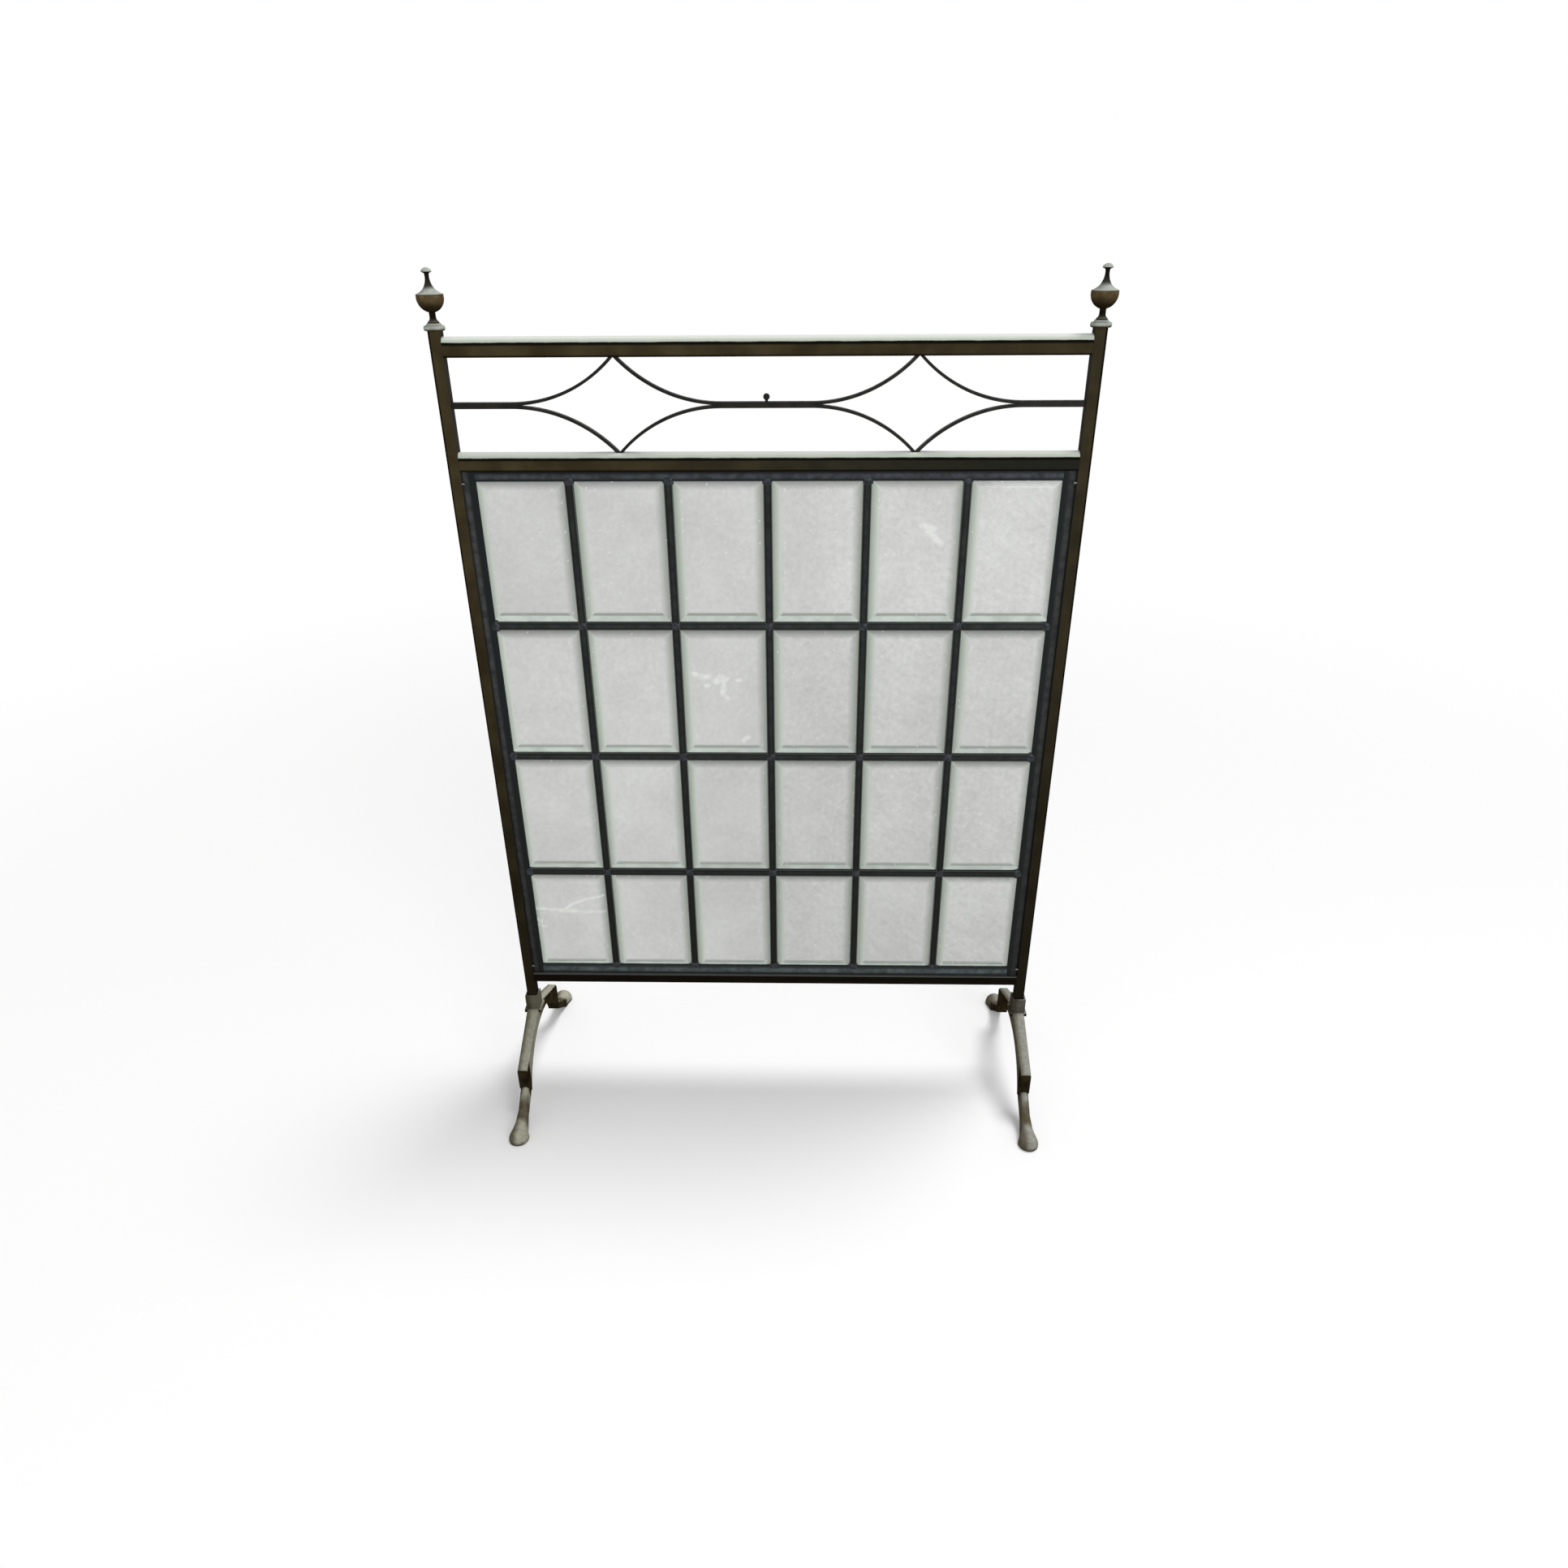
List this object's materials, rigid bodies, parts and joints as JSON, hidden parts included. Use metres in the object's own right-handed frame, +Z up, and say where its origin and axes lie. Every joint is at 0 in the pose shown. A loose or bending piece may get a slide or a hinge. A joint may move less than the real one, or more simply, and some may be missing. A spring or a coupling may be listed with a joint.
{
  "type": "fire screen",
  "caption": "Free-standing fire screen: leaded panel of bevelled glass panes in a square tube frame with an open strip lattice, turned urn finials and arched hoof feet.",
  "frame": {"origin": "on the floor, midway between the posts and in the plane of the panel", "axes": "+Z up, +X to the right seen from the bevelled front, +Y towards the back"},
  "size_m": [0.675, 0.301, 1],
  "materials": {
    "frame_paint": "satin",
    "lattice_paint": "satin",
    "tarnished_brass": "tarnished",
    "lead": "matte",
    "glass": "clear",
    "steel": "plain"
  },
  "bodies": {
    "screen": {"bottom_border_came": "lead", "bottom_rail": "frame_paint", "finial_studs": "steel", "foot_bolts": "steel", "lattice_bead": "lattice_paint", "left_border_came": "lead", "left_finial_flange": "tarnished_brass", "left_foot": "tarnished_brass", "left_post": "frame_paint", "lower_left_strip": "lattice_paint", "lower_middle_strip": "lattice_paint", "lower_right_strip": "lattice_paint", "pane_row1_col1": "glass", "pane_row1_col2": "glass", "pane_row1_col3": "glass", "pane_row1_col4": "glass", "pane_row1_col5": "glass", "pane_row1_col6": "glass", "pane_row2_col1": "glass", "pane_row2_col2": "glass", "pane_row2_col3": "glass", "pane_row2_col4": "glass", "pane_row2_col5": "glass", "pane_row2_col6": "glass", "pane_row3_col1": "glass", "pane_row3_col2": "glass", "pane_row3_col3": "glass", "pane_row3_col4": "glass", "pane_row3_col5": "glass", "pane_row3_col6": "glass", "pane_row4_col1": "glass", "pane_row4_col2": "glass", "pane_row4_col3": "glass", "pane_row4_col4": "glass", "pane_row4_col5": "glass", "pane_row4_col6": "glass", "panel_pins": "steel", "post_foot_plugs": "steel", "post_top_plugs": "steel", "right_border_came": "lead", "right_finial_flange": "tarnished_brass", "right_foot": "tarnished_brass", "right_post": "frame_paint", "row_1_cames": "lead", "row_2_cames": "lead", "row_3_cames": "lead", "second_rail": "frame_paint", "top_border_came": "lead", "top_rail": "frame_paint", "upper_left_strip": "lattice_paint", "upper_middle_strip": "lattice_paint", "upper_right_strip": "lattice_paint", "vertical_came_1": "lead", "vertical_came_2": "lead", "vertical_came_3": "lead", "vertical_came_4": "lead", "vertical_came_5": "lead"},
    "left_urn": {"left_finial": "tarnished_brass"},
    "right_urn": {"right_finial": "tarnished_brass"}
  },
  "joints": [
    {"name": "left_finial_turn", "type": "hinge", "parent": "screen", "child": "left_urn", "pos_m": [-0.32435, 0, 0.95105], "axis": [0, 0, 1], "continuous": true},
    {"name": "right_finial_turn", "type": "hinge", "parent": "screen", "child": "right_urn", "pos_m": [0.32435, 0, 0.95105], "axis": [0, 0, 1], "continuous": true}
  ]
}
